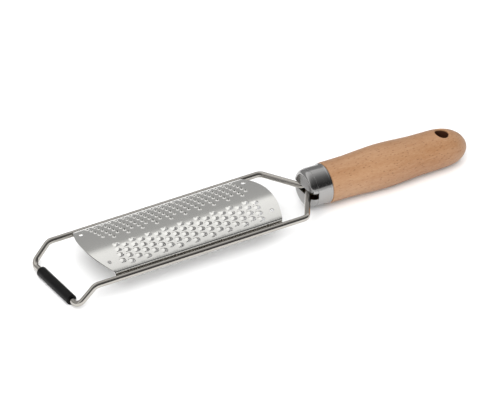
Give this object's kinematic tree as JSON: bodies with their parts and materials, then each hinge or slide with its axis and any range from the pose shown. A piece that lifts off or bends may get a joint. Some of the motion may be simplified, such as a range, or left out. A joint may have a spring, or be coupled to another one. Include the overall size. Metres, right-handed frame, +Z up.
{
  "type": "rasp zester",
  "caption": "Two-grit rasp zester: an arched toothed steel plate welded in a bent wire frame, with a rubber foot, a steel ferrule and a turned wooden handle.",
  "frame": {"origin": "centre of the bounding box in plan, on the plane that the foot sleeve and the handle's belly rest on", "axes": "+X along the tool from the foot to the handle, +Y to the finely toothed side, +Z up out of the toothed face"},
  "size_m": [0.3056, 0.0632, 0.0291],
  "materials": {
    "frame_wire": "polished stainless wire",
    "plate_steel": "satin stainless sheet",
    "weld_steel": "bare weld metal",
    "foot_rubber": "smooth black rubber",
    "ferrule_steel": "bright drawn stainless steel",
    "handle_wood": "oiled beech",
    "resin": "cast epoxy"
  },
  "bodies": {
    "root": {"wire_frame": "frame_wire", "grater_plate": "plate_steel", "spot_welds": "weld_steel", "foot_sleeve": "foot_rubber", "ferrule": "ferrule_steel", "handle": "handle_wood", "resin_plug": "resin"}
  },
  "joints": []
}
